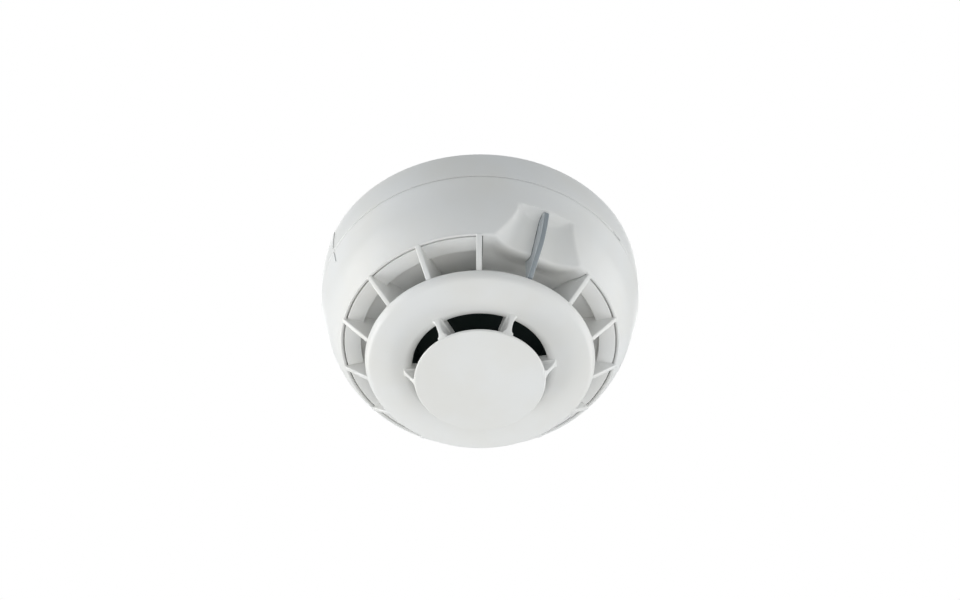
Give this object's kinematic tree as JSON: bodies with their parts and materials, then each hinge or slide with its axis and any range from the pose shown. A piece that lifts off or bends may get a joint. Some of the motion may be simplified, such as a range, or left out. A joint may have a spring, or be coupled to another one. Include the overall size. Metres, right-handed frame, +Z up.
{
  "type": "heat detector",
  "caption": "Ceiling heat detector: a round surface base and a twist-lock head with a vaned air inlet, deflector disc, ribbed nose and a clear lamp blade.",
  "frame": {"origin": "centre of the cable entry, on the base's ceiling face", "axes": "+Z up towards the ceiling, the head hangs towards -Z, and the status lamp faces -Y"},
  "size_m": [0.1105, 0.1102, 0.0547],
  "materials": {
    "white_plastic": "fine satin moulding",
    "natural_plastic": "satin",
    "sprung_bronze": "tin plated, satin",
    "plated_steel": "zinc plated",
    "board_laminate": "solder resist",
    "moulded_package": "matt",
    "capacitor_can": "sleeved can",
    "thermistor_body": "dipped coating",
    "red_lens": "clear red lens",
    "clear_plastic": "clear, polished",
    "black_plastic": "satin"
  },
  "bodies": {
    "base": {"base_plate": "white_plastic", "base_wall": "white_plastic", "terminal_strip_1": "sprung_bronze", "terminal_strip_2": "sprung_bronze", "terminal_strip_3": "sprung_bronze", "terminal_strip_4": "sprung_bronze", "terminal_clamps": "plated_steel", "terminal_screws": "plated_steel"},
    "lock": {"locking_tab": "natural_plastic"},
    "head": {"head_shell": "white_plastic", "head_chassis": "white_plastic", "bayonet_collar": "white_plastic", "contact_blade_1": "sprung_bronze", "contact_blade_2": "sprung_bronze", "contact_blade_3": "sprung_bronze", "contact_blade_4": "sprung_bronze", "chassis_screws": "plated_steel", "circuit_board": "board_laminate", "board_screws": "plated_steel", "controller_chip": "moulded_package", "reservoir_capacitor": "capacitor_can", "bridge_rectifier": "moulded_package", "surge_suppressor": "moulded_package", "resistors": "moulded_package", "reference_thermistor": "thermistor_body", "status_lamp": "red_lens", "light_pipe": "clear_plastic", "cover_ring": "white_plastic", "recess_plate": "white_plastic", "cover_vanes": "white_plastic", "cover_disc": "white_plastic", "cover_ribs": "white_plastic", "nose_cap": "white_plastic", "baffle_plate": "black_plastic", "sensor_baffle": "black_plastic", "thermistor_tube": "black_plastic", "thermistor_leads": "plated_steel", "thermistor_bead": "thermistor_body"}
  },
  "joints": [
    {"name": "head_twist", "type": "hinge", "parent": "base", "child": "head", "pos_m": [0, 0, -0.0128], "axis": [0, 0, -1], "range_deg": [0, 20]},
    {"name": "lock_slide", "type": "slide", "parent": "base", "child": "lock", "axis": [0.5446, -0.8387, 0], "range_m": [0, 0.002]}
  ]
}
